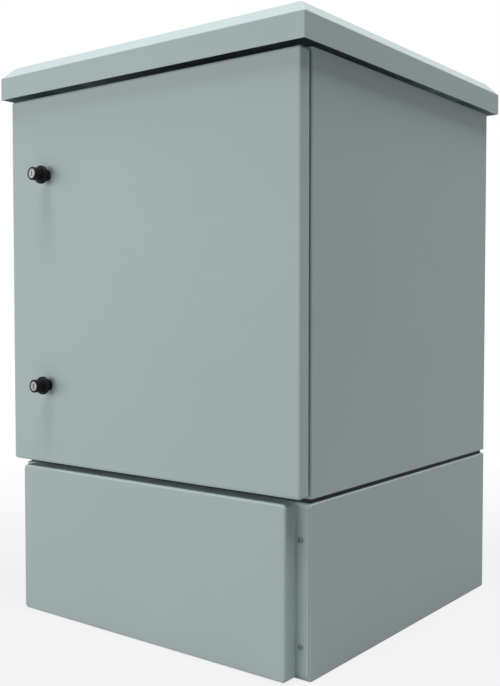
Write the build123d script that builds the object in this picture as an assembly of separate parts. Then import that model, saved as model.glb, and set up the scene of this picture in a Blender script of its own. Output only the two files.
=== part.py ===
from build123d import *
import os

os.makedirs("parts", exist_ok=True)

# Outdoor equipment cabinet on a plinth, folded from steel sheet, with one hinged front door.
# Millimetres. Seen from the front, X runs to the right, Y to the rear and Z up.
# The origin is the centre of the plinth's footprint, on the ground.

# Overall
cabinet_width = 600.0
carcass_depth = 577.0
plinth_height = 250.0
base_gap = 6.5
carcass_height = 615.5

# Sheet, fits and cuts
sheet = 2.0
bend_radius = 3.0
running_clearance = 0.05
screw_clearance = 0.25
overrun = 5.0

# Plinth panels
plinth_flange = 45.0
plinth_corner_radius = 4.0
plinth_rim = 40.0
plinth_rim_clearance = 0.5
front_rail_height = 40.0
anchor_inset_x = 30.0
anchor_inset_y = 68.5
anchor_hole_radius = 7.0
plinth_screw_inset = 16.3
plinth_screw_low_margin = 48.5
plinth_screw_high_margin = 52.0

# Plinth cover, a tray that stands out to the door's plane
cover_inset = 24.0
cover_sheet = 1.5
cover_corner_radius = 7.0
cover_edge_radius = 4.0
cover_flange = 21.0
cover_ground_clearance = 1.0

# Rubber seal between plinth and carcass, and the bolts through it
base_seal_recess = 5.0
base_seal_width = 38.0
joint_bolt_inset_x = 30.0
joint_bolt_inset_y = 98.5
joint_bolt_radius = 5.0
joint_bolt_flats = 17.0
joint_bolt_head = 6.5
joint_bolt_nut = 8.0
joint_bolt_end = 3.0

# Carcass
frame_face = 50.0
header_face = 30.5
sill_face = 30.5
rear_flange = 25.0
plate_rim = 20.0
rear_screw_inset = 14.0
rear_screw_end_margin = 60.0

# Small sheet screws with a hexagon socket
screw_radius = 2.5
screw_head_radius = 4.2
screw_head = 2.4
screw_socket_flats = 3.0
screw_socket_depth = 1.5
screw_tail = 3.0

# Roof
roof_side_overhang = 13.8
roof_front_overhang = 10.8
roof_rear_overhang = 19.0
roof_door_clearance = 4.4
roof_fascia = 35.6
roof_chamfer_run = 17.5
roof_chamfer_rise = 18.8
roof_spacer_radius = 9.0
roof_spacer_inset = 170.0
roof_screw_radius = 4.0
roof_screw_flats = 13.0
roof_screw_head = 5.5
roof_screw_grip = 16.0

# Door
door_thickness = 20.0
door_gap = 7.3
door_top_margin = 2.5
door_bottom_margin = 2.5
door_edge_radius = 4.5
door_corner_radius = 5.0
door_seal_width = 10.0
door_seal_thickness = 8.0
door_seal_clearance = 0.3

# Concealed hinges on the right
hinge_axis_inset = 10.0
hinge_pitch = 410.0
hinge_pin_radius = 3.0
hinge_pin_end = 2.0
hinge_arm_height = 30.0
hinge_arm_sheet = 4.0
hinge_arm_bend = 4.0
hinge_arm_setback = 26.0
hinge_foot = 18.0
hinge_foot_screw_inset = 5.2
hinge_foot_screw_pitch = 16.0
hinge_knuckle_radius = 5.0
hinge_ear = 3.0
hinge_ear_reach = 6.0
hinge_play = 0.3
hinge_bracket_sheet = 2.0

# Quarter-turn locks on the left
lock_inset = 91.0
lock_pitch = 348.4
lock_collar_radius = 9.3
lock_collar_length = 8.7
lock_collar_chamfer = 1.2
lock_body_radius = 8.0
lock_play = 0.3
lock_nut_flats = 22.0
lock_nut = 5.0
lock_shaft_radius = 4.5
lock_square = 6.0
lock_stud_radius = 2.8
knob_radius = 15.0
knob_length = 8.0
knob_round = 3.0
barrel_radius = 10.7
barrel_length = 16.0
barrel_chamfer = 1.0
plug_radius = 7.8
plug_length = 11.0
plug_recess = 0.5
key_slot_width = 1.8
key_slot_height = 8.5
key_slot_depth = 6.0
cam_width = 18.0
cam_sheet = 3.0
cam_overlap = 14.0
cam_nut_flats = 10.0
cam_nut = 5.0
cam_stud_end = 1.5

# Equipment rails for panels of the standard 19-inch pattern
rack_unit = 44.45
rack_unit_hole_shares = (1 / 7, 1 / 2, 6 / 7)
rack_hole = 9.5
rack_hole_inset = 7.55
rail_side_space = 48.0
rail_face = 25.0
rail_depth = 30.0
rail_setback = 60.0
rail_end_margin = 8.0
depth_bar_height = 40.0
depth_bar_end_margin = 38.5
depth_bar_level_inset = 42.0
rail_screw_radius = 3.0
rail_screw_head_radius = 5.0
rail_screw_head = 3.0

# Cable entry in the floor
entry_length = 340.0
entry_width = 120.0
entry_offset = 150.0
gland_margin = 20.0
gland_screw_inset = 10.0
grommet_count = 4
grommet_hole_radius = 24.0
grommet_lip = 4.0
grommet_lip_thickness = 2.5
grommet_neck_wall = 3.0
grommet_membrane = 1.5

# Earth studs
stud_radius = 4.0
stud_length = 24.0
stud_nut_flats = 13.0
stud_nut = 6.0
floor_stud_inset_x = 120.0
floor_stud_inset_y = 48.0
door_stud_inset_x = 120.0
door_stud_inset_z = 75.0
door_stud_length = 14.0

# Planes and levels that follow from the sizes above
half_width = cabinet_width / 2
carcass_front = -carcass_depth / 2
carcass_rear = carcass_depth / 2
carcass_bottom = plinth_height + base_gap
carcass_top = carcass_bottom + carcass_height
web_inner = half_width - sheet
frame_back = carcass_front + sheet
door_front = carcass_front - door_gap - door_thickness
door_inner = door_front + sheet
door_bottom = carcass_bottom + door_bottom_margin
door_top = carcass_top - door_top_margin
door_height = door_top - door_bottom
door_middle = (door_bottom + door_top) / 2
opening_half_width = half_width - frame_face
header_low = carcass_top - header_face
sill_high = carcass_bottom + sill_face
lip_front = door_inner + door_seal_thickness + door_seal_clearance
floor_top = carcass_bottom + sheet
top_underside = carcass_top - sheet

# Signs of the left and right, the front and rear, or the lower and upper of a pair
pair = (-1, 1)

pieces = {}


def hex_prism(flats, length):
    """Hexagon bar standing on the XY plane."""
    return extrude(RegularPolygon(radius=flats / 2, side_count=6, major_radius=False), amount=length)


def rod(radius, length):
    """Round bar standing on the XY plane."""
    return Cylinder(radius, length, align=(Align.CENTER, Align.CENTER, Align.MIN))


def folded(points, side, plane, length):
    """Strip of sheet bent along the points, drawn on a plane and drawn out along its normal."""
    line = FilletPolyline(*points, radius=bend_radius)
    profile = make_face(offset(line, amount=sheet, side=side))
    return extrude(plane * profile, amount=length)


def tray(block, corner_edges, mouth_axis, wall, corner_radius, edge_radius):
    """Tray folded from one sheet, with its mouth at the far end of mouth_axis."""
    block = fillet(corner_edges, corner_radius)
    if edge_radius > 0:
        block = fillet(block.faces().sort_by(mouth_axis)[0].edges(), edge_radius)
    return offset(block, amount=-wall, openings=block.faces().sort_by(mouth_axis)[-1])


def sheet_screw(grip):
    """Low-headed socket screw along Z, its head's seat on the XY plane and its shank below it."""
    screw = rod(screw_head_radius, screw_head)
    screw += Pos(0, 0, -grip - screw_tail) * rod(screw_radius, grip + screw_tail)
    socket = hex_prism(screw_socket_flats, screw_socket_depth + overrun)
    return screw - Pos(0, 0, screw_head - screw_socket_depth) * socket


def hex_bolt(radius, flats, head, length):
    """Hexagon bolt along Z, its head's seat on the XY plane and its shank below it."""
    return hex_prism(flats, head) + Pos(0, 0, -length) * rod(radius, length)


def hex_nut(flats, height, bore_radius):
    """Hexagon nut standing on the XY plane."""
    return hex_prism(flats, height) - rod(bore_radius, height)


def group(solids):
    """Like pieces kept as separate solids in one node."""
    return Compound(children=[s.solid() for s in solids])


# Turns that lay a part drawn along Z with its +Z end towards the front, the rear, the left or the right.
to_front = Rot(90, 0, 0)
to_rear = Rot(-90, 0, 0)
to_left = Rot(0, -90, 0)
to_right = Rot(0, 90, 0)

# Plinth side panels: trays on edge, whose rims are the corner posts, the ground ledge and the top ledge.
plinth_screw_x = half_width - plinth_screw_inset
plinth_screw_levels = (plinth_screw_low_margin, plinth_height - plinth_screw_high_margin)
anchor_places = [
    (sx * (half_width - anchor_inset_x), sy * (carcass_depth / 2 - anchor_inset_y))
    for sx in pair
    for sy in pair
]
joint_bolt_places = [
    (sx * (half_width - joint_bolt_inset_x), sy * (carcass_depth / 2 - joint_bolt_inset_y))
    for sx in pair
    for sy in pair
]
block = Box(plinth_flange, carcass_depth, plinth_height)
plinth_side = tray(
    block, block.edges().filter_by(Axis.X), Axis.X.reverse(), sheet, plinth_corner_radius, bend_radius
)
plinth_side = Pos(half_width - plinth_flange / 2, 0, plinth_height / 2) * plinth_side
for x, y in anchor_places:
    plinth_side -= Pos(x, y, -overrun) * rod(anchor_hole_radius, sheet + 2 * overrun)
for x, y in joint_bolt_places:
    plinth_side -= Pos(x, y, plinth_height - sheet - overrun) * rod(
        joint_bolt_radius + screw_clearance, sheet + 2 * overrun
    )
for z in plinth_screw_levels:
    for y in (carcass_front, carcass_rear - sheet):
        plinth_side -= Pos(plinth_screw_x, y - overrun, z) * to_rear * rod(
            screw_radius + screw_clearance, sheet + 2 * overrun
        )
pieces["plinth_side_right"] = plinth_side
pieces["plinth_side_left"] = mirror(plinth_side, about=Plane.YZ)

# Plinth front rail and rear panel. Their top rims carry the seal between the side panels' ledges.
rim_half_width = half_width - plinth_flange - plinth_rim_clearance
rim_plane = Plane.YZ.offset(-rim_half_width)
front_rail_y = carcass_front + sheet
front_rail_path = [
    (front_rail_y, plinth_height - front_rail_height),
    (front_rail_y, plinth_height),
    (front_rail_y + plinth_rim, plinth_height),
]
front_rail = folded(front_rail_path, Side.RIGHT, rim_plane, 2 * rim_half_width)
post_lap = Box(2 * (half_width - plinth_corner_radius), sheet, front_rail_height - plinth_corner_radius)
post_lap_z = plinth_height - (front_rail_height + plinth_corner_radius) / 2
front_rail += Pos(0, front_rail_y + sheet / 2, post_lap_z) * post_lap
pieces["plinth_front_rail"] = front_rail

rear_panel_y = carcass_rear - sheet
rear_panel_path = [
    (rear_panel_y, plinth_corner_radius),
    (rear_panel_y, plinth_height),
    (rear_panel_y - plinth_rim, plinth_height),
]
rear_panel = folded(rear_panel_path, Side.LEFT, rim_plane, 2 * rim_half_width)
post_lap = Box(2 * (half_width - plinth_corner_radius), sheet, plinth_height - 2 * plinth_corner_radius)
rear_panel += Pos(0, rear_panel_y - sheet / 2, plinth_height / 2) * post_lap
rear_panel_screws = []
for sx in pair:
    for z in plinth_screw_levels:
        rear_panel -= Pos(sx * plinth_screw_x, carcass_rear + overrun, z) * to_front * rod(
            screw_radius + screw_clearance, 2 * sheet + 2 * overrun
        )
        screw_place = Pos(sx * plinth_screw_x, carcass_rear, z) * to_rear
        rear_panel_screws.append(screw_place * sheet_screw(2 * sheet))
pieces["plinth_rear_panel"] = rear_panel
pieces["plinth_rear_screws"] = group(rear_panel_screws)

# Plinth front cover: a deep tray with a screw flange down each side.
cover_height = plinth_height - cover_ground_clearance
cover_depth = carcass_front - door_front
cover_middle_z = cover_ground_clearance + cover_height / 2
cover_half_width = half_width - cover_inset
block = Box(2 * cover_half_width, cover_depth, cover_height)
cover = tray(
    block, block.edges().filter_by(Axis.Y), Axis.Y, cover_sheet, cover_corner_radius, cover_edge_radius
)
cover = Pos(0, door_front + cover_depth / 2, cover_middle_z) * cover
flange_height = cover_height - 2 * cover_corner_radius
cover_screws = []
for sx in pair:
    flange = Box(cover_flange + cover_sheet, cover_sheet, flange_height)
    flange_x = cover_half_width + (cover_flange - cover_sheet) / 2
    cover += Pos(sx * flange_x, carcass_front - cover_sheet / 2, cover_middle_z) * flange
for sx in pair:
    for z in plinth_screw_levels:
        cover -= Pos(sx * plinth_screw_x, carcass_front - cover_sheet - overrun, z) * to_rear * rod(
            screw_radius + screw_clearance, cover_sheet + 2 * overrun
        )
        screw_place = Pos(sx * plinth_screw_x, carcass_front - cover_sheet, z) * to_front
        cover_screws.append(screw_place * sheet_screw(cover_sheet + sheet))
pieces["plinth_front_cover"] = cover
pieces["plinth_cover_screws"] = group(cover_screws)

# Rubber seal ring on top of the plinth, with the bolts that clamp it.
seal_outer = Rectangle(cabinet_width - 2 * base_seal_recess, carcass_depth - 2 * base_seal_recess)
seal_margin = base_seal_recess + base_seal_width
seal_inner = Rectangle(cabinet_width - 2 * seal_margin, carcass_depth - 2 * seal_margin)
base_seal = Pos(0, 0, plinth_height) * extrude(seal_outer - seal_inner, amount=base_gap)
joint_bolt_length = sheet + base_gap + sheet + joint_bolt_nut + joint_bolt_end
joint_bolts = []
joint_nuts = []
for x, y in joint_bolt_places:
    base_seal -= Pos(x, y, plinth_height - overrun) * rod(
        joint_bolt_radius + screw_clearance, base_gap + 2 * overrun
    )
    bolt = hex_bolt(joint_bolt_radius, joint_bolt_flats, joint_bolt_head, joint_bolt_length)
    joint_bolts.append(Pos(x, y, floor_top) * bolt)
    nut = hex_nut(joint_bolt_flats, joint_bolt_nut, joint_bolt_radius + running_clearance)
    joint_nuts.append(Pos(x, y, plinth_height - sheet - joint_bolt_nut) * nut)
pieces["base_seal"] = base_seal
pieces["plinth_bolts"] = group(joint_bolts)
pieces["plinth_nuts"] = group(joint_nuts)

# Side walls: web, door frame flange with a forward rain lip, and rear flange.
hinge_axis_x = half_width - hinge_axis_inset
hinge_axis_y = door_front + hinge_axis_inset
hinge_levels = [door_middle + s * hinge_pitch / 2 for s in pair]
hinge_foot_x = half_width - hinge_arm_setback - hinge_foot + hinge_foot_screw_inset
hinge_screw_places = [
    (hinge_foot_x, z + s * hinge_foot_screw_pitch / 2)
    for z in hinge_levels
    for s in pair
]
rear_screw_levels = (
    carcass_bottom + rear_screw_end_margin,
    (carcass_bottom + carcass_top) / 2,
    carcass_top - rear_screw_end_margin,
)
lip_outer = opening_half_width + sheet
wall_path = [
    (half_width - rear_flange, carcass_rear),
    (half_width, carcass_rear),
    (half_width, carcass_front),
    (lip_outer, carcass_front),
    (lip_outer, lip_front),
]
side_wall = folded(wall_path, Side.RIGHT, Plane.XY.offset(carcass_bottom), carcass_height)
lip_zone = 2 * (carcass_front - lip_front)
above_lip = carcass_top - header_low - sheet
below_lip = sill_high - sheet - carcass_bottom
for low, high in ((carcass_bottom, below_lip), (header_low + sheet, above_lip)):
    trim = Box(lip_zone, lip_zone, high, align=(Align.CENTER, Align.MAX, Align.MIN))
    side_wall -= Pos(lip_outer, carcass_front, low) * trim
for z in rear_screw_levels:
    side_wall -= Pos(half_width - rear_screw_inset, carcass_rear + overrun, z) * to_front * rod(
        screw_radius + screw_clearance, sheet + 2 * overrun
    )
side_wall_left = mirror(side_wall, about=Plane.YZ)
for x, z in hinge_screw_places:
    side_wall -= Pos(x, carcass_front - overrun, z) * to_rear * rod(
        screw_radius + screw_clearance, sheet + 2 * overrun
    )
pieces["side_wall_right"] = side_wall
pieces["side_wall_left"] = side_wall_left

# Door header and sill, folded rails that close the door frame between the side walls.
header_lip = header_low + sheet
sill_lip = sill_high - sheet
header_path = [(carcass_front, carcass_top), (carcass_front, header_lip), (lip_front, header_lip)]
sill_path = [(carcass_front, carcass_bottom), (carcass_front, sill_lip), (lip_front, sill_lip)]
rail_plane = Plane.YZ.offset(-opening_half_width)
pieces["door_header"] = folded(header_path, Side.LEFT, rail_plane, 2 * opening_half_width)
pieces["door_sill"] = folded(sill_path, Side.RIGHT, rail_plane, 2 * opening_half_width)

# Rear wall, flat, screwed inside the rear flanges.
rear_wall_front = carcass_rear - 2 * sheet
rear_wall_half_width = half_width - bend_radius
rear_wall = Box(2 * rear_wall_half_width, sheet, carcass_height)
rear_wall = Pos(0, rear_wall_front + sheet / 2, carcass_bottom + carcass_height / 2) * rear_wall
rear_screws = []
for sx in pair:
    for z in rear_screw_levels:
        x = sx * (half_width - rear_screw_inset)
        rear_wall -= Pos(x, carcass_rear + overrun, z) * to_front * rod(
            screw_radius + screw_clearance, 2 * sheet + 2 * overrun
        )
        rear_screws.append(Pos(x, carcass_rear, z) * to_rear * sheet_screw(2 * sheet))
pieces["rear_wall"] = rear_wall
pieces["rear_wall_screws"] = group(rear_screws)

# Floor and top plates: shallow trays between the walls.
plate_length = rear_wall_front - frame_back
plate_middle_y = (rear_wall_front + frame_back) / 2
block = Box(2 * web_inner, plate_length, plate_rim)
floor_plate = tray(block, block.edges().filter_by(Axis.Z), Axis.Z, sheet, bend_radius, 0)
top_plate = mirror(floor_plate, about=Plane.XY)
floor_plate = Pos(0, plate_middle_y, carcass_bottom + plate_rim / 2) * floor_plate
top_plate = Pos(0, plate_middle_y, carcass_top - plate_rim / 2) * top_plate
entry_hole = Box(entry_length, entry_width, sheet + 2 * overrun)
floor_plate -= Pos(0, entry_offset, carcass_bottom + sheet / 2) * entry_hole
for x, y in joint_bolt_places:
    floor_plate -= Pos(x, y, carcass_bottom - overrun) * rod(
        joint_bolt_radius + screw_clearance, sheet + 2 * overrun
    )

# Gland plate over the cable entry, with blanking grommets.
gland_length = entry_length + 2 * gland_margin
gland_width = entry_width + 2 * gland_margin
gland_plate = Pos(0, entry_offset, floor_top + sheet / 2) * Box(gland_length, gland_width, sheet)
gland_top = floor_top + sheet
gland_screws = []
for sx in pair:
    for sy in pair:
        x = sx * (gland_length / 2 - gland_screw_inset)
        y = entry_offset + sy * (gland_width / 2 - gland_screw_inset)
        hole = Pos(x, y, carcass_bottom - overrun) * rod(
            screw_radius + screw_clearance, 2 * sheet + 2 * overrun
        )
        gland_plate -= hole
        floor_plate -= hole
        gland_screws.append(Pos(x, y, gland_top) * sheet_screw(2 * sheet))
grommet_lip_radius = grommet_hole_radius + grommet_lip
grommet_height = sheet + 2 * grommet_lip_thickness
grommet_blank = rod(grommet_lip_radius, grommet_height)
groove = rod(grommet_lip_radius, sheet) - rod(grommet_hole_radius - running_clearance, sheet)
grommet_blank -= Pos(0, 0, grommet_lip_thickness) * groove
grommet_blank -= Pos(0, 0, grommet_membrane) * rod(grommet_hole_radius - grommet_neck_wall, grommet_height)
grommets = []
grommet_pitch = entry_length / grommet_count
for k in range(grommet_count):
    x = (k - (grommet_count - 1) / 2) * grommet_pitch
    gland_plate -= Pos(x, entry_offset, floor_top - overrun) * rod(grommet_hole_radius, sheet + 2 * overrun)
    grommets.append(Pos(x, entry_offset, floor_top - grommet_lip_thickness) * grommet_blank)
pieces["gland_plate"] = gland_plate
pieces["gland_screws"] = group(gland_screws)
pieces["cable_grommets"] = group(grommets)

# Earth stud welded to the floor, with its nut.
floor_stud = Pos(half_width - floor_stud_inset_x, carcass_front + floor_stud_inset_y, floor_top) * (
    rod(stud_radius, stud_length) + hex_prism(stud_nut_flats, stud_nut)
)
pieces["floor_plate"] = floor_plate
pieces["floor_earth_stud"] = floor_stud

# Roof: one welded rain cover on four spacers.
roof_width = cabinet_width + 2 * roof_side_overhang
roof_front = door_front - roof_front_overhang
roof_depth = carcass_rear + roof_rear_overhang - roof_front
roof_middle_y = roof_front + roof_depth / 2
roof_bottom = door_top + roof_door_clearance
roof_fold = roof_bottom + roof_fascia
roof_top = roof_fold + roof_chamfer_rise
roof_foot = Rectangle(roof_width, roof_depth)
roof_crown = Rectangle(roof_width - 2 * roof_chamfer_run, roof_depth - 2 * roof_chamfer_run)
roof_block = extrude(roof_foot, amount=roof_fascia)
chamfer_top = roof_fascia + roof_chamfer_rise
roof_block += loft([Pos(0, 0, roof_fascia) * roof_foot, Pos(0, 0, chamfer_top) * roof_crown])
roof = offset(roof_block, amount=-sheet, openings=roof_block.faces().sort_by(Axis.Z)[0])
pieces["roof_cover"] = Pos(0, roof_middle_y, roof_bottom) * roof
spacer_height = roof_top - sheet - carcass_top
spacer = rod(roof_spacer_radius, spacer_height)
spacer -= rod(roof_screw_radius + running_clearance, roof_screw_grip)
roof_spacers = []
roof_screws = []
for sx in pair:
    for sy in pair:
        x = sx * (half_width - roof_spacer_inset)
        y = sy * (carcass_depth / 2 - roof_spacer_inset)
        roof_spacers.append(Pos(x, y, carcass_top) * spacer)
        bolt = hex_bolt(roof_screw_radius, roof_screw_flats, roof_screw_head, roof_screw_grip)
        roof_screws.append(Pos(x, y, top_underside) * Rot(180, 0, 0) * bolt)
        top_plate -= Pos(x, y, top_underside - overrun) * rod(
            roof_screw_radius + screw_clearance, sheet + 2 * overrun
        )
pieces["top_plate"] = top_plate
pieces["roof_spacers"] = group(roof_spacers)
pieces["roof_screws"] = group(roof_screws)

# Equipment rails on depth bars.
rail_outer = web_inner - rail_side_space
rail_inner = rail_outer - rail_face
rack_hole_x = rail_inner + rack_hole_inset
rail_front = carcass_front + rail_setback
rack_units = int((header_low - sill_high - 2 * rail_end_margin) // rack_unit)
rack_height = rack_units * rack_unit
rack_bottom = (header_low + sill_high - rack_height) / 2
rail_length = rack_height + 2 * rail_end_margin
rail_path = [(rail_inner, rail_front), (rail_outer, rail_front), (rail_outer, rail_front + rail_depth)]
rail = folded(rail_path, Side.LEFT, Plane.XY.offset(rack_bottom - rail_end_margin), rail_length)
rack_holes = Sketch() + [
    Pos(rack_hole_x, rack_bottom + (u + share) * rack_unit) * Rectangle(rack_hole, rack_hole)
    for u in range(rack_units)
    for share in rack_unit_hole_shares
]
rail -= extrude(Plane.XZ.offset(-rail_front - sheet - overrun) * rack_holes, amount=sheet + 2 * overrun)
bar_levels = {
    "lower": sill_high + depth_bar_level_inset,
    "upper": header_low - depth_bar_level_inset,
}
bar_length = carcass_depth - 2 * depth_bar_end_margin
rail_screw_y = rail_front + rail_depth / 2 + sheet / 2
rail_screw_grip = 2 * sheet
rail_screws = []
for name, z in bar_levels.items():
    low = z - depth_bar_height / 2
    high = z + depth_bar_height / 2
    bar_path = [(web_inner, low), (rail_outer, low), (rail_outer, high), (web_inner, high)]
    bar = folded(bar_path, Side.RIGHT, Plane.XZ.offset(-bar_length / 2), bar_length)
    hole = Pos(rail_outer - sheet - overrun, rail_screw_y, z) * to_right * rod(
        rail_screw_radius + screw_clearance, rail_screw_grip + 2 * overrun
    )
    bar -= hole
    rail -= hole
    pieces[f"depth_bar_{name}_right"] = bar
    pieces[f"depth_bar_{name}_left"] = mirror(bar, about=Plane.YZ)
    screw = rod(rail_screw_head_radius, rail_screw_head)
    screw += Pos(0, 0, -rail_screw_grip - screw_tail) * rod(rail_screw_radius, rail_screw_grip + screw_tail)
    screw = Pos(rail_outer - sheet, rail_screw_y, z) * to_left * screw
    rail_screws += [screw, mirror(screw, about=Plane.YZ)]
pieces["equipment_rail_right"] = rail
pieces["equipment_rail_left"] = mirror(rail, about=Plane.YZ)
pieces["rail_screws"] = group(rail_screws)

# Door: a folded pan with soft edges, pierced for the locks.
lock_x = -half_width + lock_inset
lock_levels = {"lower": door_middle - lock_pitch / 2, "upper": door_middle + lock_pitch / 2}
block = Box(cabinet_width, door_thickness, door_height)
door = tray(block, block.edges().filter_by(Axis.Y), Axis.Y, sheet, door_corner_radius, door_edge_radius)
door = Pos(0, door_front + door_thickness / 2, door_middle) * door
for z in lock_levels.values():
    door -= Pos(lock_x, door_front - overrun, z) * to_rear * rod(
        lock_body_radius + screw_clearance, sheet + 2 * overrun
    )
pieces["door_panel"] = door

# Door seal: a ring that the frame's lip meets along its middle.
seal_half_width = opening_half_width + sheet / 2
seal_low = sill_high - sheet / 2
seal_high = header_low + sheet / 2
seal_middle = (seal_low + seal_high) / 2
seal_ring = Rectangle(2 * seal_half_width + door_seal_width, seal_high - seal_low + door_seal_width)
seal_ring -= Rectangle(2 * seal_half_width - door_seal_width, seal_high - seal_low - door_seal_width)
door_seal = extrude(seal_ring, amount=door_seal_thickness)
pieces["door_seal"] = Pos(0, door_inner, seal_middle) * to_rear * door_seal

# Earth stud on the door's inner face.
door_stud = rod(stud_radius, door_stud_length) + hex_prism(stud_nut_flats, stud_nut)
door_stud_place = Pos(half_width - door_stud_inset_x, door_inner, door_bottom + door_stud_inset_z)
pieces["door_earth_stud"] = door_stud_place * to_rear * door_stud

# Hinges: goosenecks on the door frame reach into the pan, where pins in the door's brackets carry the door.
arm_x = half_width - hinge_arm_setback - hinge_arm_sheet / 2
foot_y = carcass_front - hinge_arm_sheet / 2
arm_path = FilletPolyline(
    (half_width - hinge_arm_setback - hinge_foot, foot_y),
    (arm_x, foot_y),
    (arm_x, hinge_axis_y),
    (hinge_axis_x, hinge_axis_y),
    radius=hinge_arm_bend,
)
arm_profile = trace(arm_path, line_width=hinge_arm_sheet)
arm_profile += Pos(hinge_axis_x, hinge_axis_y) * Circle(hinge_knuckle_radius)
arm_profile -= Pos(hinge_axis_x, hinge_axis_y) * Circle(hinge_pin_radius + running_clearance)
arm_blank = extrude(arm_profile, amount=hinge_arm_height)
bracket_inner_height = hinge_arm_height + 2 * hinge_play
bracket_height = bracket_inner_height + 2 * hinge_ear
bracket_y = door_front + door_edge_radius
bracket_depth = hinge_axis_y - bracket_y + hinge_ear_reach
bracket_width = web_inner - hinge_axis_x + hinge_ear_reach
bracket = Box(bracket_width, bracket_depth, bracket_height)
bracket -= Pos(-hinge_bracket_sheet, 0, 0) * Box(bracket_width, bracket_depth, bracket_inner_height)
bracket = Pos(web_inner - bracket_width / 2, bracket_y + bracket_depth / 2, 0) * bracket
bracket -= Pos(hinge_axis_x, hinge_axis_y, -bracket_height / 2 - overrun) * rod(
    hinge_pin_radius, bracket_height + 2 * overrun
)
pin_length = bracket_height + 2 * hinge_pin_end
hinge_screws = []
for name, z in zip(("lower", "upper"), hinge_levels):
    arm = Pos(0, 0, z - hinge_arm_height / 2) * arm_blank
    for x, screw_z in hinge_screw_places:
        arm -= Pos(x, carcass_front - hinge_arm_sheet - overrun, screw_z) * to_rear * rod(
            screw_radius + screw_clearance, hinge_arm_sheet + 2 * overrun
        )
    pieces[f"hinge_arm_{name}"] = arm
    pieces[f"hinge_bracket_{name}"] = Pos(0, 0, z) * bracket
    pieces[f"hinge_pin_{name}"] = Pos(hinge_axis_x, hinge_axis_y, z - pin_length / 2) * rod(
        hinge_pin_radius, pin_length
    )
for x, z in hinge_screw_places:
    screw = sheet_screw(hinge_arm_sheet + sheet)
    hinge_screws.append(Pos(x, carcass_front - hinge_arm_sheet, z) * to_front * screw)
pieces["hinge_arm_screws"] = group(hinge_screws)

# Locks, drawn along Z with the door's front face on the XY plane and the user at +Z.
# The cams are drawn hanging down, clear of the door frame; a quarter turn takes them behind it.
inner_face = -sheet
cam_face = door_front - frame_back - lock_play
housing_end = cam_face + lock_play
housing = rod(lock_collar_radius, lock_collar_length)
housing = chamfer(housing.edges().sort_by(Axis.Z)[-1], lock_collar_chamfer)
housing += Pos(0, 0, housing_end) * rod(lock_body_radius, -housing_end)
housing -= Pos(0, 0, housing_end - overrun) * rod(
    lock_shaft_radius + running_clearance, lock_collar_length - housing_end + 2 * overrun
)
lock_ring_nut = Pos(0, 0, inner_face - lock_nut) * hex_nut(
    lock_nut_flats, lock_nut, lock_body_radius + running_clearance
)

knob_base = lock_collar_length + lock_play
knob_top = knob_base + knob_length
barrel_top = knob_top + barrel_length
disc = rod(knob_radius, knob_length)
disc = fillet(disc.edges().filter_by(GeomType.CIRCLE), knob_round)
barrel = rod(barrel_radius, barrel_length)
barrel = chamfer(barrel.edges().sort_by(Axis.Z)[-1], barrel_chamfer)
cam_back = cam_face - cam_sheet
stud_end = cam_back - cam_nut - cam_stud_end
knob = Pos(0, 0, knob_base) * disc + Pos(0, 0, knob_top) * barrel
knob += Pos(0, 0, cam_face) * rod(lock_shaft_radius, knob_base - cam_face)
knob += Pos(0, 0, cam_back + cam_sheet / 2) * Box(lock_square, lock_square, cam_sheet)
knob += Pos(0, 0, stud_end) * rod(lock_stud_radius, cam_back - stud_end)
plug_base = barrel_top - plug_length - plug_recess
knob -= Pos(0, 0, plug_base) * rod(plug_radius, plug_length + plug_recess + overrun)

plug = rod(plug_radius - running_clearance, plug_length)
key_slot = extrude(Rectangle(key_slot_width, key_slot_height), amount=key_slot_depth + overrun)
plug -= Pos(0, 0, plug_length - key_slot_depth) * key_slot
plug = Pos(0, 0, plug_base) * plug

cam_reach = lock_inset - frame_face + cam_overlap
cam_profile = SlotCenterToCenter(cam_reach - cam_width / 2, cam_width, rotation=90)
cam_profile = Pos(0, -(cam_reach - cam_width / 2) / 2) * cam_profile
cam_square = lock_square + 2 * running_clearance
cam = Pos(0, 0, cam_back) * extrude(cam_profile - Rectangle(cam_square, cam_square), amount=cam_sheet)
cam_lock_nut = Pos(0, 0, cam_back - cam_nut) * hex_nut(
    cam_nut_flats, cam_nut, lock_stud_radius + running_clearance
)

lock_places = {name: Pos(lock_x, door_front, z) * to_front for name, z in lock_levels.items()}
pieces["lock_housings"] = group([place * housing for place in lock_places.values()])
pieces["lock_nuts"] = group([place * lock_ring_nut for place in lock_places.values()])
for name, place in lock_places.items():
    pieces[f"{name}_lock_knob"] = place * knob
    pieces[f"{name}_lock_cam"] = place * cam
    pieces[f"{name}_cam_nut"] = place * cam_lock_nut
    pieces[f"{name}_key_plug"] = place * plug

for name, piece in pieces.items():
    export_step(piece, f"parts/{name}.step")
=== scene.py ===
"""Looks of an outdoor equipment cabinet: folded sheet on a plinth, powder coated, with key-locked knobs.

The construction model is the fixed frame, in metres. Each sub-assembly is a class that keeps its sizes,
builds the meshes that stand for plain solids, and gives every piece its finish.
"""

from __future__ import annotations

import logging
import math
from dataclasses import dataclass
from enum import Enum
from typing import Any, Iterable, Sequence

import bmesh
import bpy
from mathutils import Matrix, Vector


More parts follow.
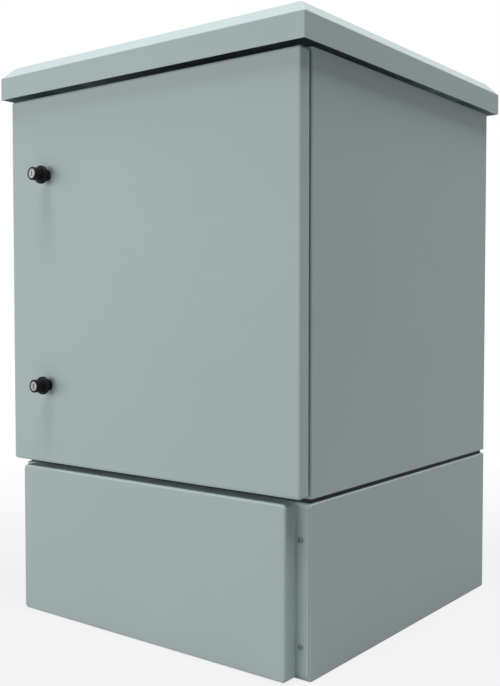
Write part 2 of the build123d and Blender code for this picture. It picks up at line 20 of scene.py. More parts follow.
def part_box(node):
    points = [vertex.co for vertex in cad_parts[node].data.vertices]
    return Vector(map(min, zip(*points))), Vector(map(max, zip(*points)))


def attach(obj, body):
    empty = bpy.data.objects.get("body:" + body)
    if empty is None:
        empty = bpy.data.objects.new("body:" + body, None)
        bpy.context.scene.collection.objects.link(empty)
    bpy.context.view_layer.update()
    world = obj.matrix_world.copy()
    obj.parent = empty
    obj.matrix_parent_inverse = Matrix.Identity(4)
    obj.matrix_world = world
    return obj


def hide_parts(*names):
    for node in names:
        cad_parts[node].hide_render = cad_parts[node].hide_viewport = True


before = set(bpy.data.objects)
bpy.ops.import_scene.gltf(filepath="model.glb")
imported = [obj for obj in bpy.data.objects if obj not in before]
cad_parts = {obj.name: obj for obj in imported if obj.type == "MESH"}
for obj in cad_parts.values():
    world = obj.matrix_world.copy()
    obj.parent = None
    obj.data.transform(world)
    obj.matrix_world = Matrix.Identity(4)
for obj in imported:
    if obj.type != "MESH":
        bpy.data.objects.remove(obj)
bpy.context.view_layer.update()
LOG = logging.getLogger("cabinet")

Colour = tuple[float, float, float]
Point = tuple[float, float, float]
Place = tuple[float, float]
Span = tuple[float, float]
Ring = list[bmesh.types.BMVert]
Node = bpy.types.Node
Socket = bpy.types.NodeSocket
Inputs = dict[str | int, Any]

# Screw heads are painted darker than the cabinet's grey: painted shade that stands in for the shadow in
# their recessed sockets.
SCREW_PAINTED_SHADE_GREY: Colour = (0.26, 0.315, 0.315)
WHITE = (1.0, 1.0, 1.0, 1.0)
FULLY_METAL = 1.0
SHARP_EDGE = math.radians(40)
UPPER_BODY: Point = (0.0, 0.0, 0.55)
LOWER_BODY: Point = (0.0, 0.0, 0.4)


class Slot(Enum):
    """The record's material slots of the pieces that are built here."""

    PAINT = "grey_paint"
    RUBBER = "black_rubber"


class Body(Enum):
    """The bodies that the pieces built here ride on."""

    CABINET = "cabinet"
    DOOR = "door"


class Level(Enum):
    """Which of a pair of locks or hinges a piece belongs to."""

    LOWER = "lower"
    UPPER = "upper"


class NodeGraph:
    """A node tree with short ways to add and join nodes."""

    def __init__(self, tree: bpy.types.NodeTree) -> None:
        """Starts from an empty tree.

        Args:
            tree: The material's or world's node tree.
        """
        self.tree = tree
        self.tree.nodes.clear()

    def add(self, kind: str, inputs: Inputs | None = None, **settings: Any) -> Node:
        """Adds a node.

        Args:
            kind: Blender's name of the node type.
            inputs: Socket name or number to a constant, or to the output socket that feeds it.
            settings: Properties of the node itself.

        Returns:
            The new node.
        """
        node = self.tree.nodes.new(kind)
        for name, value in settings.items():
            setattr(node, name, value)
        for name, value in (inputs or {}).items():
            if isinstance(value, Socket):
                self.tree.links.new(value, node.inputs[name])
            else:
                node.inputs[name].default_value = value
        return node

    def noise(self, where: Socket, scale: float, detail: float, roughness: float = 0.5) -> Socket:
        """Adds smooth noise.

        Args:
            where: Coordinates, in metres.
            scale: Cells per metre.
            detail: Octaves of finer noise.
            roughness: Strength of the finer octaves.

        Returns:
            The noise value's socket, from 0 to 1.
        """
        inputs = {"Vector": where, "Scale": scale, "Detail": detail, "Roughness": roughness}
        return self.add("ShaderNodeTexNoise", inputs).outputs["Fac"]

    def spread(self, value: Socket, results: Span, span: Span = (0.0, 1.0)) -> Socket:
        """Maps a value's span to another span.

        Args:
            value: The socket to map.
            results: Results at the span's start and end.
            span: Start and end of the value's span.

        Returns:
            The mapped value's socket.
        """
        inputs: Inputs = {"Value": value, "From Min": span[0], "From Max": span[1]}
        inputs.update({"To Min": results[0], "To Max": results[1]})
        return self.add("ShaderNodeMapRange", inputs).outputs["Result"]

    def tint(self, factor: Socket, dark: Colour, light: Colour) -> Socket:
        """Mixes two colours by a factor.

        Args:
            factor: The socket that mixes them.
            dark: Colour at 0.
            light: Colour at 1.

        Returns:
            The mixed colour's socket.
        """
        ramp = self.add("ShaderNodeValToRGB", {"Fac": factor})
        ramp.color_ramp.elements[0].color = (*dark, 1.0)
        ramp.color_ramp.elements[1].color = (*light, 1.0)
        return ramp.outputs["Color"]

    def relief(self, height: Socket, distance: float, normal: Socket | None = None) -> Socket:
        """Adds bump.

        Args:
            height: The socket that gives the height, from 0 to 1.
            distance: Depth in metres at a height of 1.
            normal: Normal from an earlier relief, if any.

        Returns:
            The normal's socket.
        """
        inputs: Inputs = {"Height": height, "Distance": distance, "Strength": 1.0}
        if normal is not None:
            inputs["Normal"] = normal
        return self.add("ShaderNodeBump", inputs).outputs["Normal"]


def shade(colour: Colour, share: float) -> Colour:
    """Returns the colour made lighter or darker by a share of itself."""
    return (colour[0] * share, colour[1] * share, colour[2] * share)


class Finish:
    """A material that is made once and shared by the pieces that wear it."""

    name: str

    def material(self) -> bpy.types.Material:
        """Returns the finish's material, made at its first use."""
        found = bpy.data.materials.get(self.name)
        if found is not None:
            return found
        made = bpy.data.materials.new(self.name)
        made.use_nodes = True
        graph = NodeGraph(made.node_tree)
        where = graph.add("ShaderNodeTexCoord").outputs["Object"]
        surface = graph.add("ShaderNodeBsdfPrincipled")
        self.paint(graph, where, surface)
        graph.add("ShaderNodeOutputMaterial", {"Surface": surface.outputs["BSDF"]})
        return made

    def paint(self, graph: NodeGraph, where: Socket, surface: Node) -> None:
        """Sets up the surface's shader.

        Args:
            graph: The material's graph.
            where: Coordinates in the object's frame, in metres.
            surface: The shader to feed.
        """
        raise NotImplementedError

    @staticmethod
    def feed(graph: NodeGraph, surface: Node, colour: Socket, gloss: Socket, normal: Socket) -> None:
        """Joins the sockets that vary over a surface to its shader.

        Args:
            graph: The material's graph.
            surface: The shader.
            colour: Base colour.
            gloss: Roughness.
            normal: Normal with the finish's relief.
        """
        for name, socket in (("Base Color", colour), ("Roughness", gloss), ("Normal", normal)):
            graph.tree.links.new(socket, surface.inputs[name])

    def wear(self, obj: bpy.types.Object) -> None:
        """Puts this finish alone on a piece.

        Args:
            obj: The piece, a carried-over solid or a new mesh.
        """
        obj.data.materials.clear()
        obj.data.materials.append(self.material())


@dataclass(frozen=True)
class PowderCoat(Finish):
    """Satin powder coat with a fine orange peel over a finer grain."""

    name: str = "light_grey_powder_coat"
    colour: Colour = (0.455, 0.55, 0.55)
    roughness: Span = (0.41, 0.51)
    sheen: float = 0.21
    peel_cells: float = 420.0
    peel_depth: float = 0.00006
    grain_cells: float = 2600.0
    grain_depth: float = 0.000012
    drift_cells: float = 5.0
    drift_share: float = 0.03

    def paint(self, graph: NodeGraph, where: Socket, surface: Node) -> None:
        """See Finish.paint."""
        drift = graph.noise(where, self.drift_cells, detail=3.0)
        peel = graph.noise(where, self.peel_cells, detail=1.0)
        grain = graph.noise(where, self.grain_cells, detail=1.0)
        dark = shade(self.colour, 1.0 - self.drift_share)
        light = shade(self.colour, 1.0 + self.drift_share)
        gloss = graph.spread(peel, self.roughness)
        normal = graph.relief(grain, self.grain_depth, graph.relief(peel, self.peel_depth))
        self.feed(graph, surface, graph.tint(drift, dark, light), gloss, normal)
        surface.inputs["Specular IOR Level"].default_value = self.sheen


@dataclass(frozen=True)
class ZincPlate(Finish):
    """Zinc-plated steel with a faint blue and straw cast, rolled or turned."""

    name: str = "zinc_plate"
    blue: Colour = (0.60, 0.63, 0.66)
    straw: Colour = (0.68, 0.66, 0.60)
    roughness: Span = (0.26, 0.44)
    cast_cells: float = 40.0
    grain_cells: float = 1800.0
    grain_depth: float = 0.00001

    def paint(self, graph: NodeGraph, where: Socket, surface: Node) -> None:
        """See Finish.paint."""
        cast = graph.noise(where, self.cast_cells, detail=4.0, roughness=0.6)
        grain = graph.noise(where, self.grain_cells, detail=2.0)
        gloss = graph.spread(grain, self.roughness)
        normal = graph.relief(grain, self.grain_depth)
        self.feed(graph, surface, graph.tint(cast, self.blue, self.straw), gloss, normal)
        surface.inputs["Metallic"].default_value = FULLY_METAL


@dataclass(frozen=True)
class GalvanisedSheet(Finish):
    """Hot-dip galvanised sheet with grey spangles."""

    name: str = "galvanised_sheet"
    dark: Colour = (0.46, 0.48, 0.50)
    light: Colour = (0.66, 0.68, 0.69)
    roughness: Span = (0.32, 0.48)
    spangle_cells: float = 110.0
    grain_cells: float = 1500.0
    grain_depth: float = 0.000012

    def paint(self, graph: NodeGraph, where: Socket, surface: Node) -> None:
        """See Finish.paint."""
        cells = graph.add("ShaderNodeTexVoronoi", {"Vector": where, "Scale": self.spangle_cells})
        spangle = graph.add("ShaderNodeSeparateColor", {"Color": cells.outputs["Color"]}).outputs["Red"]
        grain = graph.noise(where, self.grain_cells, detail=2.0)
        gloss = graph.spread(spangle, self.roughness)
        normal = graph.relief(grain, self.grain_depth)
        self.feed(graph, surface, graph.tint(spangle, self.dark, self.light), gloss, normal)
        surface.inputs["Metallic"].default_value = FULLY_METAL


@dataclass(frozen=True)
class SealRubber(Finish):
    """Black sealing rubber with a fine dull grain."""

    name: str = "black_seal_rubber"
    dark: Colour = (0.012, 0.012, 0.013)
    light: Colour = (0.026, 0.026, 0.027)
    roughness: Span = (0.64, 0.82)
    bloom_cells: float = 60.0
    grain_cells: float = 1400.0
    grain_depth: float = 0.00004

    def paint(self, graph: NodeGraph, where: Socket, surface: Node) -> None:
        """See Finish.paint."""
        bloom = graph.noise(where, self.bloom_cells, detail=4.0)
        grain = graph.noise(where, self.grain_cells, detail=3.0)
        gloss = graph.spread(grain, self.roughness)
        normal = graph.relief(grain, self.grain_depth)
        self.feed(graph, surface, graph.tint(bloom, self.dark, self.light), gloss, normal)


@dataclass(frozen=True)
class LockMoulding(Finish):
    """Black glass-filled moulding of the locks, satin with a fine spark texture."""

    name: str = "black_lock_moulding"
    dark: Colour = (0.004, 0.004, 0.0045)
    light: Colour = (0.008, 0.008, 0.009)
    roughness: Span = (0.40, 0.54)
    sheen: float = 0.12
    grain_cells: float = 2400.0
    grain_depth: float = 0.00003

    def paint(self, graph: NodeGraph, where: Socket, surface: Node) -> None:
        """See Finish.paint."""
        grain = graph.noise(where, self.grain_cells, detail=3.0)
        gloss = graph.spread(grain, self.roughness)
        normal = graph.relief(grain, self.grain_depth)
        self.feed(graph, surface, graph.tint(grain, self.dark, self.light), gloss, normal)
        surface.inputs["Specular IOR Level"].default_value = self.sheen


@dataclass(frozen=True)
class NickelPlug(Finish):
    """Nickel-plated key plug with fine turning marks."""

    name: str = "nickel_key_plug"
    dark: Colour = (0.19, 0.19, 0.195)
    light: Colour = (0.27, 0.27, 0.275)
    roughness: Span = (0.38, 0.54)
    grain_cells: float = 1600.0
    grain_depth: float = 0.000012

    def paint(self, graph: NodeGraph, where: Socket, surface: Node) -> None:
        """See Finish.paint."""
        grain = graph.noise(where, self.grain_cells, detail=2.0)
        gloss = graph.spread(grain, self.roughness)
        normal = graph.relief(grain, self.grain_depth)
        self.feed(graph, surface, graph.tint(grain, self.dark, self.light), gloss, normal)
        surface.inputs["Metallic"].default_value = FULLY_METAL


def rounded_rectangle(half_width: float, half_height: float, radius: float, steps: int) -> list[Place]:
    """Draws a rectangle with round corners, centred on the origin.

    Args:
        half_width: Half its first side.
        half_height: Half its second side.
        radius: Corner radius.
        steps: Steps of each corner's arc.

    Returns:
        Its points, anticlockwise from the lower right corner.
    """
    points = []
    for side, rise, start in ((1, -1, -90), (1, 1, 0), (-1, 1, 90), (-1, -1, 180)):
        for k in range(steps + 1):
            angle = math.radians(start + 90 * k / steps)
            across = side * (half_width - radius) + radius * math.cos(angle)
            points.append((across, rise * (half_height - radius) + radius * math.sin(angle)))
    return points


def rounded_path(points: Sequence[Place], radius: float, steps: int) -> list[Place]:
    """Rounds the inner corners of a line.

    Args:
        points: The line's corners.
        radius: Radius of each bend.
        steps: Steps of each bend.

    Returns:
        The points of the bent line.
    """
    path = [points[0]]
    for before, here, after in zip(points, points[1:], points[2:]):
        corner = Vector(here)
        back, ahead = (Vector(before) - corner).normalized(), (Vector(after) - corner).normalized()
        half = back.angle(ahead) / 2
        centre = corner + (back + ahead).normalized() * (radius / math.sin(half))
        reach = radius / math.tan(half)
        first = (corner + back * reach - centre).normalized()
        last = (corner + ahead * reach - centre).normalized()
        path.extend(tuple(centre + first.slerp(last, k / steps) * radius) for k in range(steps + 1))
    path.append(points[-1])
    return path


def circle(centre: Place, radius: float, steps: int) -> list[Place]:
    """Returns the points of a circle, anticlockwise."""
    turns = (2 * math.pi * k / steps for k in range(steps))
    return [(centre[0] + radius * math.cos(turn), centre[1] + radius * math.sin(turn)) for turn in turns]


class PieceMesh:
    """Collects the points and faces of one piece, in metres in the cabinet's frame."""

    def __init__(self) -> None:
        """Starts with no points."""
        self.bm = bmesh.new()

    def ring(self, points: Iterable[Point]) -> Ring:
        """Adds points and returns their vertices."""
        return [self.bm.verts.new(point) for point in points]

    def band(self, first: Ring, second: Ring, open_at: frozenset[int] = frozenset()) -> None:
        """Joins two closed rings by a band of faces.

        Args:
            first: One ring.
            second: The other ring, with as many points.
            open_at: Steps of the rings that are left open.
        """
        for k, corner in enumerate(first):
            if k not in open_at:
                after = (k + 1) % len(first)
                self.bm.faces.new((corner, first[after], second[after], second[k]))

    def tube(self, rings: Sequence[Ring], closed: bool = False) -> None:
        """Joins rings in order by bands.

        Args:
            rings: The rings, each with as many points.
            closed: Whether the last ring joins the first.
        """
        for first, second in zip(rings, rings[1:]):
            self.band(first, second)
        if closed:
            self.band(rings[-1], rings[0])

    def lid(self, outline: Ring, *holes: Ring) -> None:
        """Fills a flat outline, less its holes.

        Args:
            outline: The outer ring.
            holes: The rings of the holes.
        """
        if not holes:
            self.bm.faces.new(outline)
            return
        edges = []
        for ring in (outline, *holes):
            for first, second in zip(ring, ring[1:] + ring[:1]):
                edges.append(self.bm.edges.get((first, second)) or self.bm.edges.new((first, second)))
        bmesh.ops.triangle_fill(self.bm, use_beauty=True, use_dissolve=False, edges=edges)

    def turned(self, profile: Sequence[Place], place: Matrix, steps: int) -> list[Ring]:
        """Adds the rings of a turned piece.

        Args:
            profile: Pairs of radius and height along the axis.
            place: Takes the axis from Z to where the piece is.
            steps: Steps round the axis.

        Returns:
            One ring for each pair.
        """
        rings = []
        for radius, height in profile:
            points = circle((0.0, 0.0), radius, steps)
            rings.append(self.ring(tuple(place @ Vector((x, y, height))) for x, y in points))
        return rings

    def piece(
        self, name: str, finish: Finish, body: Body, stands_for: str
    ) -> bpy.types.Object:
        """Turns the faces into a piece that stands for a plain solid.

        Args:
            name: The piece's name.
            finish: What it wears.
            body: The body it rides on.
            stands_for: The solid's node.

        Returns:
            The piece.
        """
        bmesh.ops.recalc_face_normals(self.bm, faces=self.bm.faces)
        mesh = bpy.data.meshes.new(name)
        self.bm.to_mesh(mesh)
        self.bm.free()
        mesh.shade_smooth()
        mesh.set_sharp_from_angle(angle=SHARP_EDGE)
        obj = bpy.data.objects.new(name, mesh)
        bpy.context.scene.collection.objects.link(obj)
        finish.wear(obj)
        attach(obj, body.value)
        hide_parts(stands_for)
        LOG.info("%s stands for %s and wears %s", name, stands_for, finish.name)
        return obj


def flatten_faces(obj: bpy.types.Object) -> None:
    """Makes large flat faces shade flat beside their round edges."""
    obj.modifiers.new("flat_faces", "WEIGHTED_NORMAL").keep_sharp = True


def dress(finish: Finish, names: Iterable[str]) -> None:
    """Gives carried-over solids a finish.

    Args:
        finish: What they wear.
        names: Their node names.
    """
    for name in names:
        finish.wear(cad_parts[name])
        LOG.info("%s wears %s", name, finish.name)


@dataclass
class Plinth:
    """The plinth: side panels, front rail, rear panel, the screwed front cover and the seal above."""

    paint: PowderCoat
    screw_painted_shade: PowderCoat
    zinc: ZincPlate
    rubber: SealRubber
    seal_width: float = 0.038
    seal_round: float = 0.0010
    seal_rib_depth: float = 0.0007
    seal_ribs: int = 3
    rib_shares: tuple[float, ...] = (0.18, 0.5, 0.82)
    bolt_hole: float = 0.00525
    bolt_reach: Place = (0.270, 0.190)
    bolt_steps: int = 32
    steps: int = 4

    def build(self) -> None:
        """Builds the seal and dresses the plinth's pieces."""
        self.build_seal()
        sheets = ("plinth_side_left", "plinth_side_right", "plinth_front_rail", "plinth_rear_panel")
        dress(self.paint, (*sheets, "plinth_front_cover"))
        # The screws wear the darkened paint: painted shade for their shadowed sockets.
        dress(self.screw_painted_shade, ("plinth_cover_screws", "plinth_rear_screws"))
        dress(self.zinc, ("plinth_bolts", "plinth_nuts"))

    def build_seal(self) -> None:
        """Lays the ribbed rubber strip that the carcass stands on."""
        low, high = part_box("base_seal")
        half = (high - low) / 2
        pitch = (high.z - low.z) / self.seal_ribs
        mesh = PieceMesh()
        outer = []
        for k in range(self.seal_ribs):
            outer.append((self.seal_rib_depth, low.z + k * pitch))
            outer.extend((0.0, low.z + (k + share) * pitch) for share in self.rib_shares)
        outer.append((self.seal_rib_depth, high.z))
        inner = [(self.seal_width, low.z), (self.seal_width, high.z)]
        walls = []
        for line in (outer, inner):
            rings = []
            for inset, level in line:
                outline = rounded_rectangle(half.x - inset, half.y - inset, self.seal_round, self.steps)
                rings.append(mesh.ring((x, y, level) for x, y in outline))
            mesh.tube(rings)
            walls.append(rings)
        faces = []
        for end, level in ((0, low.z), (-1, high.z)):
            holes = []
            for sx in (-1, 1):
                for sy in (-1, 1):
                    place = (sx * self.bolt_reach[0], sy * self.bolt_reach[1])
                    points = circle(place, self.bolt_hole, self.bolt_steps)
                    holes.append(mesh.ring((x, y, level) for x, y in points))
            mesh.lid(walls[0][end], walls[1][end], *holes)
            faces.append(holes)
        for lower, upper in zip(*faces):
            mesh.band(lower, upper)
        mesh.piece("base_seal_strip", self.rubber, Body.CABINET, "base_seal")


@dataclass
class Carcass:
    """The cabinet's body: walls, door frame, floor and top plates."""

    paint: PowderCoat
    screw_painted_shade: PowderCoat
    zinc: ZincPlate

    def build(self) -> None:
        """Dresses the carcass."""
        walls = ("side_wall_left", "side_wall_right", "rear_wall", "door_header", "door_sill")
        dress(self.paint, (*walls, "floor_plate", "top_plate"))
        # The screws wear the darkened paint: painted shade for their shadowed sockets.
        dress(self.screw_painted_shade, ("rear_wall_screws",))
        dress(self.zinc, ("floor_earth_stud",))


@dataclass
class RoofCover:
    """The rain cover, folded and welded from one sheet, with its spacers and screws."""

    paint: PowderCoat
    zinc: ZincPlate
    sheet: float = 0.002
    fascia: float = 0.0356
    chamfer_run: float = 0.0175
    fold_radius: float = 0.0026
    corner_radius: float = 0.0022
    inner_radius: float = 0.0006
    steps: int = 5

    def build(self) -> None:
        """Builds the cover and dresses the rest."""
        low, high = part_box("roof_cover")
        fold, run = low.z + self.fascia, self.chamfer_run
        slope = math.atan2(run, high.z - fold)
        inner_fold = fold - self.sheet * math.tan(slope / 2)
        inner_run = run + self.sheet * math.tan((math.pi / 2 - slope) / 2)
        inner_top = high.z - self.sheet
        lid = 2 * run
        outer_line = [(0.0, low.z), (0.0, fold), (run, high.z), (lid, high.z)]
        inner_line = [
            (self.sheet, low.z),
            (self.sheet, inner_fold),
            (inner_run, inner_top),
            (lid, inner_top),
        ]
        mesh = PieceMesh()
        outer = self.rings(mesh, outer_line, self.fold_radius, self.corner_radius)
        inner = self.rings(mesh, inner_line, self.inner_radius, self.inner_radius)
        mesh.tube(outer)
        mesh.tube(inner)
        mesh.band(outer[0], inner[0])
        mesh.lid(outer[-1])
        mesh.lid(inner[-1])
        cover = mesh.piece("roof_shell", self.paint, Body.CABINET, "roof_cover")
        flatten_faces(cover)
        dress(self.zinc, ("roof_spacers", "roof_screws"))

    def rings(self, mesh: PieceMesh, line: Sequence[Place], fold: float, corner: float) -> list[Ring]:
        """Adds the rings of one skin of the cover.

        Args:
            mesh: The piece being made.
            line: The skin's section, as pairs of inset and height.
            fold: Radius of the folds.
            corner: Radius of the upright corners.

        Returns:
            The rings, from the fascia's lower edge to the top.
        """
        low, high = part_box("roof_cover")
        middle, half = (low + high) / 2, (high - low) / 2
        rings = []
        for inset, level in rounded_path(line, fold, self.steps):
            outline = rounded_rectangle(half.x - inset, half.y - inset, corner, self.steps)
            rings.append(mesh.ring((middle.x + x, middle.y + y, level) for x, y in outline))
        return rings


@dataclass
class DoorLeaf:
    """The door: a folded pan with a slit at each corner of its returns, a foam seal and an earth stud."""

    paint: PowderCoat
    zinc: ZincPlate
    rubber: SealRubber
    sheet: float = 0.002
    edge_radius: float = 0.0045
    corner_radius: float = 0.005
    steps: int = 6
    slit_steps: tuple[int, ...] = (2, 3)
    lock_hole: float = 0.00825
    lock_places: tuple[Place, ...] = ((-0.209, 0.39005), (-0.209, 0.73845))
    hole_steps: int = 36
    seal_width: float = 0.010
    seal_corner: float = 0.012
    seal_steps: int = 10
    seal_fullness: float = 0.6

    def build(self) -> None:
        """Builds the pan and its seal, and dresses the rest."""
        self.build_pan()
        self.build_seal()
        dress(self.zinc, ("door_earth_stud",))

    def build_pan(self) -> None:
        """Folds the pan as one skin and thickens it inwards."""
        low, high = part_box("door_panel")
        middle, half = (low + high) / 2, (high - low) / 2
        arc = [math.pi / 2 * k / self.steps for k in range(self.steps + 1)]
        radius = self.edge_radius
        section = [(radius * (1 - math.sin(a)), low.y + radius * (1 - math.cos(a))) for a in arc]
        section.append((0.0, high.y))
        mesh = PieceMesh()
        rings = []
        for inset, depth in section:
            corner = self.corner_radius - inset
            outline = rounded_rectangle(half.x - inset, half.z - inset, corner, self.steps)
            rings.append(mesh.ring((middle.x + x, depth, middle.z + z) for x, z in outline))
        mesh.tube(rings[:-1])
        count = self.steps + 1
        slits = frozenset(bend * count + step for bend in range(4) for step in self.slit_steps)
        mesh.band(rings[-2], rings[-1], slits)
        holes = []
        for place in self.lock_places:
            points = circle(place, self.lock_hole, self.hole_steps)
            holes.append(mesh.ring((x, low.y, z) for x, z in points))
        mesh.lid(rings[0], *holes)
        pan = mesh.piece("door_pan", self.paint, Body.DOOR, "door_panel")
        skin = pan.modifiers.new("sheet", "SOLIDIFY")
        skin.thickness = self.sheet
        skin.offset = -1.0
        skin.use_even_offset = True
        flatten_faces(pan)

    def build_seal(self) -> None:
        """Lays a foam seal of D section round the pan's inner face."""
        low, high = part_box("door_seal")
        middle, half = (low + high) / 2, (high - low) / 2
        rise = high.y - low.y
        mesh = PieceMesh()
        rings = []
        for k in range(self.seal_steps + 1):
            turn = math.pi * k / self.seal_steps
            inset = self.seal_width / 2 * (1 - math.cos(turn))
            corner = self.seal_corner - inset
            outline = rounded_rectangle(half.x - inset, half.z - inset, corner, self.steps)
            depth = low.y + rise * math.sin(turn) ** self.seal_fullness
            rings.append(mesh.ring((middle.x + x, depth, middle.z + z) for x, z in outline))
        mesh.tube(rings, closed=True)
        mesh.piece("door_foam_seal", self.rubber, Body.DOOR, "door_seal")


@dataclass
class HingePair:
    """The concealed hinges."""

    zinc: ZincPlate

    def build(self) -> None:
        """Dresses arms, brackets, pins and screws."""
        parts = ("arm", "bracket", "pin")
        for level in Level:
            dress(self.zinc, (f"hinge_{part}_{level.value}" for part in parts))
        dress(self.zinc, ("hinge_arm_screws",))


@dataclass
class QuarterTurnLocks:
    """The two key-locked knobs with their housings, cams and nuts."""

    black: LockMoulding
    nickel: NickelPlug
    zinc: ZincPlate

    def build(self) -> None:
        """Dresses both locks."""
        dress(self.black, ("lock_housings",))
        dress(self.zinc, ("lock_nuts",))
        for level in Level:
            dress(self.black, (f"{level.value}_lock_knob",))
            dress(self.zinc, (f"{level.value}_lock_cam", f"{level.value}_cam_nut"))
            dress(self.nickel, (f"{level.value}_key_plug",))


@dataclass
class EquipmentFrame:
    """Depth bars and 19-inch rails."""

    sheet: GalvanisedSheet
    zinc: ZincPlate

    def build(self) -> None:
        """Dresses bars, rails and screws."""
        sides = ("left", "right")
        bars = (f"depth_bar_{level.value}_{side}" for level in Level for side in sides)
        dress(self.sheet, bars)
        dress(self.sheet, (f"equipment_rail_{side}" for side in sides))
        dress(self.zinc, ("rail_screws",))


@dataclass
class CableEntry:
    """Gland plate with blanking grommets in the floor."""

    sheet: GalvanisedSheet
    zinc: ZincPlate
    rubber: SealRubber
    count: int = 4
    pitch: float = 0.085
    offset: float = 0.150
    lip_radius: float = 0.028
    neck_radius: float = 0.02395
    bore_radius: float = 0.021
    lip: float = 0.0025
    lip_round_share: float = 1 / 3
    plate: float = 0.002
    membrane: float = 0.0015
    ring_height: float = 0.0014
    rings: tuple[float, ...] = (0.016, 0.011, 0.006)
    steps: int = 48

    def build(self) -> None:
        """Builds the grommets and dresses the plate."""
        dress(self.sheet, ("gland_plate",))
        dress(self.zinc, ("gland_screws",))
        self.build_grommets()

    def section(self) -> list[Place]:
        """Draws half a grommet's section: soft lips, the plate's groove and a stepped membrane.

        Returns:
            Pairs of radius and height, from the middle of the underside to the middle of the top.
        """
        soft = self.lip * self.lip_round_share
        groove, upper = self.lip, self.lip + self.plate
        top = upper + self.lip
        line = [
            (self.ring_height / 2, 0.0),
            (self.lip_radius - soft, 0.0),
            (self.lip_radius, soft),
            (self.lip_radius, groove - soft),
            (self.lip_radius - soft, groove),
            (self.neck_radius, groove),
            (self.neck_radius, upper),
            (self.lip_radius - soft, upper),
            (self.lip_radius, upper + soft),
            (self.lip_radius, top - soft),
            (self.lip_radius - soft, top),
            (self.bore_radius + soft, top),
            (self.bore_radius, top - soft),
            (self.bore_radius, self.membrane),
        ]
        for radius in self.rings:
            half = self.ring_height / 2
            line.append((radius + half, self.membrane))
            line.append((radius + half / 2, self.membrane + half))
            line.append((radius - half / 2, self.membrane + half))
            line.append((radius - half, self.membrane))
        line.append((self.ring_height / 2, self.membrane))
        return line

    def build_grommets(self) -> None:
        """Turns one grommet for each hole of the plate."""
        low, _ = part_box("cable_grommets")
        mesh = PieceMesh()
        for k in range(self.count):
            across = (k - (self.count - 1) / 2) * self.pitch
            place = Matrix.Translation((across, self.offset, low.z))
            rings = mesh.turned(self.section(), place, self.steps)
            mesh.tube(rings)
            mesh.lid(rings[0])
            mesh.lid(rings[-1])
        mesh.piece("membrane_grommets", self.rubber, Body.CABINET, "cable_grommets")


@dataclass(frozen=True)
class SoftBox:
    """A flat studio lamp that points at a target."""

    name: str
    place: Point
    target: Point
    width: float
    height: float
    watts: float

    def build(self) -> None:
        """Hangs the lamp."""
        lamp = bpy.data.lights.new(self.name, "AREA")
        lamp.shape = "RECTANGLE"
        lamp.size = self.width
        lamp.size_y = self.height
        lamp.energy = self.watts
        holder = bpy.data.objects.new(self.name, lamp)
        holder.location = self.place
        aim = Vector(self.target) - Vector(self.place)
        holder.rotation_euler = aim.to_track_quat("-Z", "Y").to_euler()
        bpy.context.scene.collection.objects.link(holder)


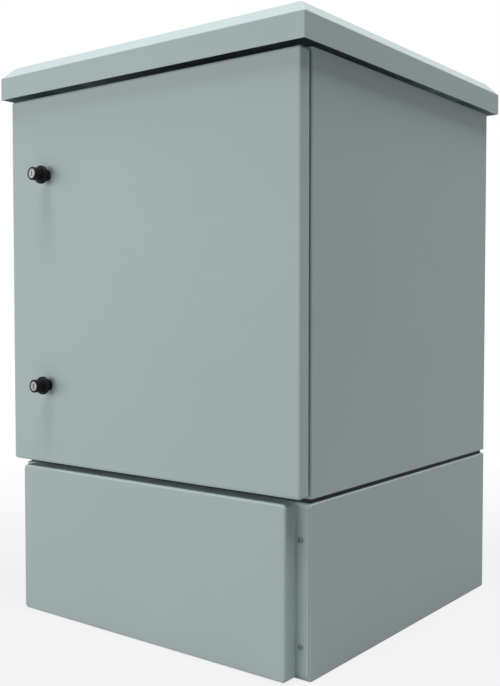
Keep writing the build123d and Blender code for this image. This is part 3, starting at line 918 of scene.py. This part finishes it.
@dataclass
class Studio:
    """Pale floor, white surroundings and soft lamps."""

    floor_radius: float = 9.0
    floor_colour: Colour = (0.40, 0.40, 0.40)
    floor_steps: int = 96
    near_white: float = 0.82
    whitens: Span = (0.6, 1.6)
    ambient: float = 0.03
    lamps: tuple[SoftBox, ...] = (
        SoftBox("overhead_front", (0.0, -1.800, 8.345), UPPER_BODY, width=2.8, height=2.8, watts=390.0),
        SoftBox("overhead_side", (2.205, 0.0, 8.240), UPPER_BODY, width=2.8, height=2.8, watts=445.0),
        SoftBox("front_left", (-1.690, -3.625, 1.00), LOWER_BODY, width=4.2, height=1.9, watts=67.0),
        SoftBox("rear_left", (-1.690, 3.625, 1.00), LOWER_BODY, width=4.2, height=1.9, watts=38.0),
    )

    def build(self) -> None:
        """Sets up floor, surroundings and lamps."""
        self.lay_floor()
        self.light_world()
        for lamp in self.lamps:
            lamp.build()

    def lay_floor(self) -> None:
        """Lays a round floor that looks white far from the object and shows its shadow near it."""
        mesh = bpy.data.meshes.new("studio_floor")
        disc = bmesh.new()
        bmesh.ops.create_circle(disc, cap_ends=True, segments=self.floor_steps, radius=self.floor_radius)
        disc.to_mesh(mesh)
        disc.free()
        floor = bpy.data.objects.new("studio_floor", mesh)
        bpy.context.scene.collection.objects.link(floor)
        made = bpy.data.materials.new("pale_floor")
        made.use_nodes = True
        graph = NodeGraph(made.node_tree)
        where = graph.add("ShaderNodeTexCoord").outputs["Object"]
        matt = graph.add("ShaderNodeBsdfDiffuse", {"Color": (*self.floor_colour, 1.0)})
        white = graph.add("ShaderNodeEmission", {"Color": WHITE, "Strength": 1.0})
        distance = graph.add("ShaderNodeVectorMath", {0: where}, operation="LENGTH").outputs["Value"]
        far = graph.spread(distance, (self.near_white, 1.0), self.whitens)
        seen = self.seen_directly(graph)
        share = graph.add("ShaderNodeMath", {0: far, 1: seen}, operation="MULTIPLY").outputs["Value"]
        shaders = {1: matt.outputs["BSDF"], 2: white.outputs["Emission"]}
        mixed = graph.add("ShaderNodeMixShader", {0: share, **shaders})
        graph.add("ShaderNodeOutputMaterial", {"Surface": mixed.outputs["Shader"]})
        mesh.materials.append(made)

    @staticmethod
    def seen_directly(graph: NodeGraph) -> Socket:
        """Tells rays of the camera, of reflections and of glass from the rays that light the object.

        Args:
            graph: The tree to add to.

        Returns:
            A socket that is 1 for those rays and otherwise 0.
        """
        path = graph.add("ShaderNodeLightPath").outputs
        seen = path["Is Camera Ray"]
        for other in ("Is Glossy Ray", "Is Transmission Ray"):
            either = graph.add("ShaderNodeMath", {0: seen, 1: path[other]}, operation="MAXIMUM")
            seen = either.outputs["Value"]
        return seen

    def light_world(self) -> None:
        """Makes the surroundings white to the eye and dimmer as a light."""
        world = bpy.data.worlds.new("studio")
        bpy.context.scene.world = world
        world.use_nodes = True
        graph = NodeGraph(world.node_tree)
        strength = graph.spread(self.seen_directly(graph), (self.ambient, 1.0))
        sky = graph.add("ShaderNodeBackground", {"Color": WHITE, "Strength": strength})
        graph.add("ShaderNodeOutputWorld", {"Surface": sky.outputs["Background"]})


@dataclass(frozen=True)
class PhotoCamera:
    """Camera at the photograph's viewpoint."""

    place: Point = (1.01408, -1.35864, 0.52262)
    turn: float = math.radians(37.46)
    tilt: float = math.radians(-2.27)
    focal_length: float = 49.41
    sensor: float = 36.0

    def build(self) -> None:
        """Sets up the scene's camera."""
        lens = bpy.data.cameras.new("photo_camera")
        lens.lens = self.focal_length
        lens.sensor_width = self.sensor
        lens.dof.use_dof = False
        camera = bpy.data.objects.new("photo_camera", lens)
        flat = math.cos(self.tilt)
        aim = Vector((-math.sin(self.turn) * flat, math.cos(self.turn) * flat, math.sin(self.tilt)))
        camera.location = self.place
        camera.rotation_euler = aim.to_track_quat("-Z", "Y").to_euler()
        bpy.context.scene.collection.objects.link(camera)
        bpy.context.scene.camera = camera


def main() -> None:
    """Builds the cabinet, then the studio round it."""
    logging.basicConfig(level=logging.INFO, format="%(name)s: %(message)s")
    bpy.context.scene.view_settings.view_transform = "Standard"
    paint, zinc, sheet = PowderCoat(), ZincPlate(), GalvanisedSheet()
    # Darker screw paint: painted shade for the shadowed sockets, not the screws' own colour.
    screw_painted_shade = PowderCoat("screw_paint_darkened_as_socket_shade", SCREW_PAINTED_SHADE_GREY)
    rubber, black, nickel = SealRubber(), LockMoulding(), NickelPlug()
    assemblies = (
        Plinth(paint, screw_painted_shade, zinc, rubber),
        Carcass(paint, screw_painted_shade, zinc),
        RoofCover(paint, zinc),
        DoorLeaf(paint, zinc, rubber),
        HingePair(zinc),
        QuarterTurnLocks(black, nickel, zinc),
        EquipmentFrame(sheet, zinc),
        CableEntry(sheet, zinc, rubber),
    )
    for assembly in assemblies:
        assembly.build()
    Studio().build()
    PhotoCamera().build()


if __name__ == "__main__":
    main()
